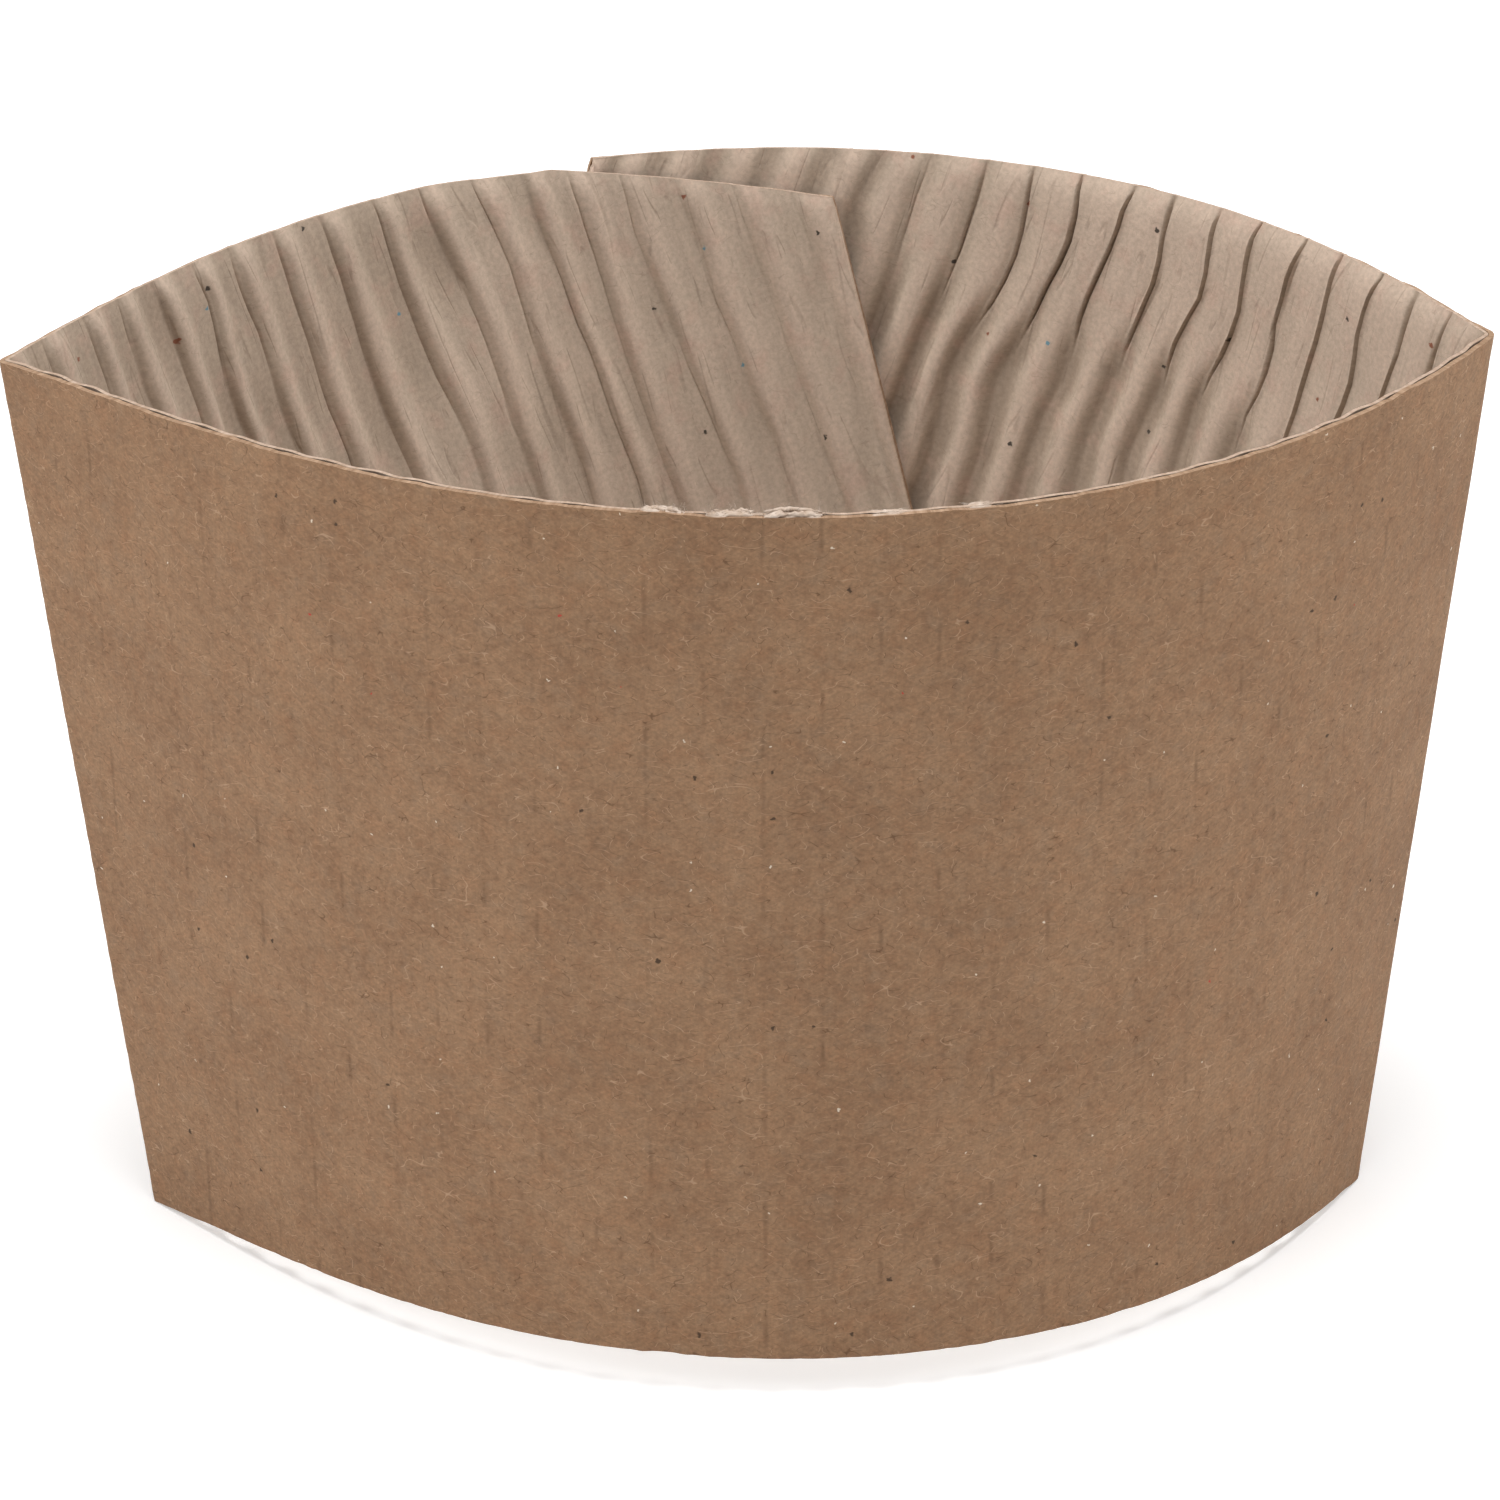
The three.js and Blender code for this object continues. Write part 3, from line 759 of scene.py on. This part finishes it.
def fluted_medium_material(colours):
    """Recycled fluting paper, steamed and pressed between corrugating rolls: matt grey-brown, softly
    clouded, with specks of coloured recycled pulp; its crests get a pinkish painted highlight and its
    valleys painted shade."""
    material, tree = new_material("corrugated_recycled_fluting")
    place = blank_place(tree)
    valley = add_node(tree, "ShaderNodeAttribute", attribute_name="valley").outputs["Fac"]
    clouds = noise_over(tree, place, 0.16, 4.0)
    colour = between(tree, clouds, (0.35, 0.65), "#baa896", "#c5b19f")
    colour = mix_colours(tree, 0.4, colour, colours.fluting)
    # Painted highlight on the crests and painted shade in the valleys, set by the depth share in the
    # valley attribute
    colour = tinted(tree, colour, valley, (0.0, 0.40), (0.55, 0.0), "#cdb6a4")
    colour = tinted(tree, colour, valley, (0.35, 0.95), (0.0, 0.56), "#94816f")
    patches = noise_over(tree, place, 0.4, 3.0, 0.6)
    colour = tinted(tree, colour, patches, (0.54, 0.72), (0.0, 0.42), "#c3a493")
    # Fine cracks where the paper wrinkled over the rolls: 3 to 8 mm long, along the flutes. Their dark
    # lines are painted shade in the creases
    cracks = fibre_mask(tree, stretched(tree, place, (2.2, 0.14, 1.0)), WRINKLE_LAYERS)
    colour = marked(tree, colour, cracks, 0.16, "#6a5546")
    # Long faint stripes along the flutes, and grain of 0.2 mm, drawn coarser than the fibres to show
    stripes = noise_over(tree, stretched(tree, place, (1.0, 0.16, 1.0)), 1.1, 3.0)
    colour = shaded(tree, colour, stripes, (0.3, 0.7), (0.96, 1.04))
    grain = noise_over(tree, place, 2.6, 4.0, 0.65)
    colour = shaded(tree, colour, grain, (0.3, 0.7), (0.89, 1.10))
    colour = marked(tree, colour, fibre_mask(tree, place, DARK_FIBRES), 0.22, "#6d5a4b")
    specks, tint = speck_mask(tree, place, 0.22, 0.045, 0.72)
    reddish = arithmetic(tree, "GREATER_THAN", tint, 0.6)
    bluish = arithmetic(tree, "GREATER_THAN", tint, 0.88)
    speck_colour = mix_colours(tree, reddish, "#4e463f", "#8f5c48")
    speck_colour = mix_colours(tree, bluish, speck_colour, "#6f93a0")
    colour = mix_colours(tree, specks, colour, speck_colour)
    finish_material(tree, colour, 0.88, (0.4, 0.00005, grain), (0.3, 0.00016, stripes),
                    (0.35, -0.00010, cracks))
    return material


def cut_edge_material(name, rubbed, fresh):
    """Paper cut through by a steel rule die: a little paler than its faces, rough, with the layers of
    fibre showing as fine bands along the cut."""
    material, tree = new_material(name)
    layers = noise_over(tree, blank_place(tree), 2.2, 4.0, 0.7)
    colour = between(tree, layers, (0.35, 0.7), rubbed, fresh)
    finish_material(tree, colour, 0.92, (0.5, 0.00006, layers))
    return material


def torn_fibre_material(colours):
    """Paper fibres pulled loose by a blunt cut: pale pinkish white, matt and fluffy."""
    material, tree = new_material("torn_paper_fibre")
    spot = add_node(tree, "ShaderNodeTexCoord").outputs["Object"]
    fluff = add_node(
        tree, "ShaderNodeTexNoise", {"Vector": spot, "Scale": 1500.0, "Detail": 2.0}).outputs[0]
    colour = between(tree, fluff, (0.35, 0.65), "#b9a492", colours.torn_fibre)
    finish_material(tree, colour, 0.95, (0.4, 0.00004, fluff))
    return material


def seen_directly(tree):
    """1 for the rays that show the background itself: to the camera, in gloss and through glass."""
    ray = add_node(tree, "ShaderNodeLightPath").outputs
    seen = arithmetic(tree, "MAXIMUM", ray["Is Camera Ray"], ray["Is Glossy Ray"])
    return arithmetic(tree, "MAXIMUM", seen, ray["Is Transmission Ray"])


def floor_material(colours):
    """Matt painted board: plain and pale. The camera sees it white, and it keeps the shadow."""
    material, tree = new_material("matt_painted_floor")
    seen = seen_directly(tree)
    matt = add_node(tree, "ShaderNodeBsdfDiffuse", {"Color": colours.floor})
    glow = add_node(tree, "ShaderNodeEmission", {"Color": (1, 1, 1, 1), "Strength": FLOOR_GLOW})
    both = add_node(tree, "ShaderNodeAddShader", {0: matt.outputs[0], 1: glow.outputs[0]})
    mixed = add_node(tree, "ShaderNodeMixShader", {0: seen, 1: matt.outputs[0], 2: both.outputs[0]})
    add_node(tree, "ShaderNodeOutputMaterial", {"Surface": mixed.outputs[0]})
    return material


# Operators

class SLEEVE_OT_kraft_liner(bpy.types.Operator):
    """Smooth outer sheet, sagging a little between the glue lines and cut along its edges"""
    bl_idname = "cup_sleeve.kraft_liner"
    bl_label = "Kraft liner"

    def execute(self, context):
        sizes = context.scene.cup_sleeve_sizes
        shares = (-0.5, -0.4, -0.3, -0.2, -0.1, 0.0, 0.1, 0.2, 0.3, 0.4)
        x = column_places(shares)[:, None] * np.ones((1, len(row_shares())))
        height = row_shares()[None, :] * np.ones((len(x), 1))
        low, high = bottom_of_blank(x), top_of_blank(x)
        wave = RAGGED_COARSE * flute_noise(41, x / 1.9, 0 * height, (0.0, 0.1))
        wave = wave + RAGGED_FINE * flute_noise(43, x / 0.7, 0 * height, (0.0, 0.1))
        # Only inwards at the bottom, where the sleeve stands on its edge
        ragged = wave * smooth(height, 1 - RAGGED_REACH, 1.0)
        ragged = ragged + np.abs(wave) * (1 - smooth(height, 0.0, RAGGED_REACH))
        behind = back_share(x, high)
        ragged = ragged - LINER_DROP * behind * smooth(height, BACK_RIM_START, 1.0)
        y = low + (high - low) * height + ragged * smooth(high - low, 5, 20)
        step = lap_step(x, y)
        sag = (1 - np.cos(2 * math.pi * (x - FLUTE_SHIFT) / FLUTE_PITCH)) / 2
        sag = sizes.print_through / MILLIMETRE * sag
        sag = sag * smooth(edge_distance(x, y), 0.0, 2.0)
        outer = fold(x, y, step + sag)
        inner = fold(x, y, step + LINER_THICKNESS)
        piece = sheet_object("kraft_liner_sheet", outer, inner, x, y, {})
        piece.data.materials.append(kraft_liner_material(context.scene.cup_sleeve_colours))
        piece.data.materials.append(cut_edge_material("die_cut_kraft_edge", "#8f7259", "#b4967c"))
        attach(piece, "root")
        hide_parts("kraft_liner")
        return {"FINISHED"}


class SLEEVE_OT_fluted_medium(bpy.types.Operator):
    """Waved inner sheet: slits and wide valleys behind, narrow crests left, flatter on the lap"""
    bl_idname = "cup_sleeve.fluted_medium"
    bl_label = "Fluted medium"

    def execute(self, context):
        sizes = context.scene.cup_sleeve_sizes
        shares = (-0.5, -0.4, -0.3, -0.2, -0.13, -0.08, -0.05, -0.025, 0.0, 0.025, 0.05, 0.08, 0.13,
            0.2, 0.3, 0.4)
        straight = column_places(shares)[:, None] * np.ones((1, len(row_shares())))
        height = row_shares()[None, :] * np.ones((len(straight), 1))
        place = place_in_flute(straight)
        x = straight + flute_warp(straight, height)
        x = np.clip(x, FLAP_TIP_X, OUTER_TIP_X)
        y = bottom_of_blank(x) + (top_of_blank(x) - bottom_of_blank(x)) * height
        behind = back_share(x, y)
        y = y + MEDIUM_RISE * behind * smooth(height, BACK_RIM_START, 1.0)
        rise, taken = flute_profile(place, straight, x, y, height, sizes)
        slope = np.gradient(rise, axis=0) / np.maximum(np.gradient(x, axis=0), 0.01)
        thickness = MEDIUM_THICKNESS * np.minimum(np.hypot(1, slope), 2.2)
        glued = lap_step(x, y) + LINER_THICKNESS + GLUE_LINE + rise
        outer = fold(x, y, glued)
        inner = fold(x, y, glued + thickness)
        # The valley attribute carries the share that the material paints as shade in the valleys and as
        # highlight on the crests
        piece = sheet_object("fluted_medium_sheet", outer, inner, x, y, {"valley": taken})
        piece.data.materials.append(fluted_medium_material(context.scene.cup_sleeve_colours))
        piece.data.materials.append(cut_edge_material(
            "die_cut_fluting_edge", "#a9907c", context.scene.cup_sleeve_colours.cut_edge))
        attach(piece, "root")
        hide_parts("fluted_medium")
        return {"FINISHED"}


def tube(points, radii, sides):
    """Vertices and faces of a closed thin tube along points."""
    along = unit(np.gradient(points, axis=0))
    first = unit(np.cross(along, np.array([0.3, 0.2, 0.93])))
    second = np.cross(along, first)
    turns = np.linspace(0, 2 * math.pi, sides, endpoint=False)[None, :, None]
    ring = first[:, None] * np.cos(turns) + second[:, None] * np.sin(turns)
    vertices = (points[:, None] + ring * radii[:, None, None]).reshape(-1, 3)
    faces = []
    for i in range(len(points) - 1):
        for j in range(sides):
            k = (j + 1) % sides
            faces.append((i * sides + j, i * sides + k, (i + 1) * sides + k, (i + 1) * sides + j))
    faces.append(tuple(range(sides))[::-1])
    faces.append(tuple((len(points) - 1) * sides + j for j in range(sides)))
    return vertices, faces


# Torn places along the front rim: first and last x and height above the edge in millimetres, and
# share of the loose fibres
TORN_PADS = (
    (-8.6, -5.6, 0.30, 0.16),
    (-4.4, -1.4, 0.28, 0.20),
    (-0.7, 3.0, 0.42, 0.44),
    (6.0, 8.5, 0.05, 0.08),
    (12.5, 14.0, 0.08, 0.12),
)
STRANDS_PER_PAD = 20
STRAND_POINTS = 30
FIBRE_POINTS = 7


class SLEEVE_OT_torn_rim(bpy.types.Operator):
    """Pads of fibre torn up by the cutting die along the middle of the front rim, with loose fibres"""
    bl_idname = "cup_sleeve.torn_rim"
    bl_label = "Torn rim fibres"

    def execute(self, context):
        sizes = context.scene.cup_sleeve_sizes
        dice = np.random.default_rng(2)
        vertices, faces, count = [], [], 0
        tubes = []
        for first, last, rise, share in TORN_PADS:
            # Each pad is a few overlapping soft strands
            for _ in range(STRANDS_PER_PAD):
                middle, reach = dice.uniform(first, last), dice.uniform(0.5, 1.3)
                x = np.linspace(max(first, middle - reach), min(last, middle + reach), STRAND_POINTS)
                swell = np.sin(math.pi * np.clip((x - first) / (last - first), 0.05, 0.95)) ** 0.5
                knots = np.arange(0, STRAND_POINTS, 4)
                bumps = np.interp(np.arange(STRAND_POINTS), knots, dice.normal(0, 0.3, len(knots)))
                depth = dice.uniform(0.12, 0.85) + 0.08 * bumps
                lift = rise * swell * (dice.uniform(0.0, 0.8) + 0.4 * bumps) - 0.06
                points = fold(x, arc_height(TOP_RADIUS, x) + lift, depth)
                ends = np.sin(np.linspace(0.15, math.pi - 0.15, STRAND_POINTS)) ** 0.7
                radius = 0.04 + 0.09 * min(rise / 0.28, 1)
                tubes.append((points, radius * ends * (1 + 0.6 * bumps).clip(0.4, 1.6), 8))
            for _ in range(int(sizes.fibre_count * share)):
                x0 = dice.uniform(first, last)
                length = dice.uniform(0.2, 0.9)
                steps = np.linspace(0, 1, FIBRE_POINTS)
                heading = dice.normal(0, 1.1)
                curl = dice.normal(0, 1.4)
                angle = heading + curl * steps
                x = x0 + np.cumsum(np.sin(angle)) * length / FIBRE_POINTS
                lift = np.cumsum(np.abs(np.cos(angle)) * dice.uniform(0.2, 0.9)) * length / FIBRE_POINTS
                depth = dice.uniform(0.2, 0.9) + np.cumsum(dice.normal(0, 0.04, FIBRE_POINTS))
                points = fold(x, arc_height(TOP_RADIUS, x) + lift * min(rise / 0.2, 1.3) - 0.05, depth)
                tubes.append((points, np.linspace(0.018, 0.010, FIBRE_POINTS), 3))
        for points, radii, sides in tubes:
            ring, quads = tube(points, np.broadcast_to(radii, len(points)), sides)
            vertices.append(ring)
            faces.extend(tuple(index + count for index in quad) for quad in quads)
            count += len(ring)
        mesh = bpy.data.meshes.new("torn_rim_fibres")
        mesh.from_pydata(set_down(np.concatenate(vertices)).tolist(), [], faces)
        mesh.polygons.foreach_set("use_smooth", [True] * len(mesh.polygons))
        piece = bpy.data.objects.new("torn_rim_fibres", mesh)
        piece.data.materials.append(torn_fibre_material(context.scene.cup_sleeve_colours))
        context.collection.objects.link(piece)
        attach(piece, "root")
        return {"FINISHED"}


# Softboxes: name, place and size in metres, power in watts. Each is aimed at the sleeve's middle
SOFTBOXES = (
    ("left_softbox", (-0.95, -0.25, 0.60), 0.55, 4.9),
    ("right_softbox", (0.95, -0.15, 0.55), 0.50, 3.9),
    ("overhead_softbox", (0.0, -0.10, 1.10), 0.60, 9.8),
)
SLEEVE_MIDDLE = Vector((0, 0, 0.035))
# The room's own light, and how much whiter than its paint the floor shows
AMBIENT_LIGHT = 0.26
FLOOR_GLOW = 0.30
FLOOR_HALF_SIDE = 6.0

# The photograph's view, with a 36 mm wide sensor
CAMERA_LENS = 241
CAMERA_PLACE = Vector((-0.011743, -0.608639, 0.325578))
CAMERA_AIM = Vector((-0.000147, -0.001864, 0.032754))
CAMERA_ROLL = math.radians(-0.579)


class SLEEVE_OT_stage(bpy.types.Operator):
    """Plain pale floor, soft studio light and the camera"""
    bl_idname = "cup_sleeve.stage"
    bl_label = "Floor, light and camera"

    def execute(self, context):
        colours = context.scene.cup_sleeve_colours
        mesh = bpy.data.meshes.new("studio_floor")
        side = FLOOR_HALF_SIDE
        mesh.from_pydata([(-side, -side, 0), (side, -side, 0), (side, side, 0), (-side, side, 0)], [],
            [(0, 1, 2, 3)])
        floor = bpy.data.objects.new("studio_floor", mesh)
        floor.data.materials.append(floor_material(colours))
        context.collection.objects.link(floor)

        world = bpy.data.worlds.new("studio_world")
        context.scene.world = world
        world.use_nodes = True
        tree = world.node_tree
        tree.nodes.clear()
        seen = seen_directly(tree)
        ambient = add_node(tree, "ShaderNodeBackground",
            {"Color": (1, 1, 1, 1), "Strength": AMBIENT_LIGHT})
        white = add_node(tree, "ShaderNodeBackground", {"Color": (1, 1, 1, 1), "Strength": 1.0})
        mixed = add_node(tree, "ShaderNodeMixShader",
            {0: seen, 1: ambient.outputs[0], 2: white.outputs[0]})
        add_node(tree, "ShaderNodeOutputWorld", {"Surface": mixed.outputs[0]})

        for name, place, size, power in SOFTBOXES:
            lamp = bpy.data.lights.new(name, "AREA")
            lamp.shape = "SQUARE"
            lamp.size = size
            lamp.energy = power
            holder = bpy.data.objects.new(name, lamp)
            holder.location = place
            aim = SLEEVE_MIDDLE - Vector(place)
            holder.rotation_euler = aim.to_track_quat("-Z", "Y").to_euler()
            context.collection.objects.link(holder)

        camera = bpy.data.cameras.new("camera")
        camera.lens = CAMERA_LENS
        camera.sensor_width = 36
        camera.clip_start = 0.01
        camera.clip_end = 20
        holder = bpy.data.objects.new("camera", camera)
        context.collection.objects.link(holder)
        ahead = (CAMERA_AIM - CAMERA_PLACE).normalized()
        level = ahead.cross(Vector((0, 0, 1))).normalized()
        above = level.cross(ahead)
        right = level * math.cos(CAMERA_ROLL) + above * math.sin(CAMERA_ROLL)
        up = above * math.cos(CAMERA_ROLL) - level * math.sin(CAMERA_ROLL)
        turn = Matrix((right, up, -ahead)).transposed()
        holder.matrix_world = Matrix.Translation(CAMERA_PLACE) @ turn.to_4x4()
        context.scene.camera = holder
        context.scene.view_settings.view_transform = "Standard"
        return {"FINISHED"}


class SLEEVE_PT_panel(bpy.types.Panel):
    bl_idname = "SLEEVE_PT_panel"
    bl_label = "Cup sleeve"
    bl_space_type = "VIEW_3D"
    bl_region_type = "UI"
    bl_category = "Cup sleeve"

    def draw(self, context):
        layout = self.layout
        for group in (context.scene.cup_sleeve_sizes, context.scene.cup_sleeve_colours):
            for key in group.bl_rna.properties.keys():
                if key not in ("rna_type", "name"):
                    layout.prop(group, key)
        for operator in OPERATORS:
            layout.operator(operator.bl_idname)


OPERATORS = (SLEEVE_OT_kraft_liner, SLEEVE_OT_fluted_medium, SLEEVE_OT_torn_rim, SLEEVE_OT_stage)
CLASSES = (CupSleeveSizes, CupSleeveColours) + OPERATORS + (SLEEVE_PT_panel,)


def register():
    for each in CLASSES:
        bpy.utils.register_class(each)
    bpy.types.Scene.cup_sleeve_sizes = bpy.props.PointerProperty(type=CupSleeveSizes)
    bpy.types.Scene.cup_sleeve_colours = bpy.props.PointerProperty(type=CupSleeveColours)


def unregister():
    del bpy.types.Scene.cup_sleeve_colours
    del bpy.types.Scene.cup_sleeve_sizes
    for each in reversed(CLASSES):
        bpy.utils.unregister_class(each)


def main():
    register()
    bpy.ops.cup_sleeve.kraft_liner()
    bpy.ops.cup_sleeve.fluted_medium()
    bpy.ops.cup_sleeve.torn_rim()
    bpy.ops.cup_sleeve.stage()


if __name__ == "__main__":
    main()
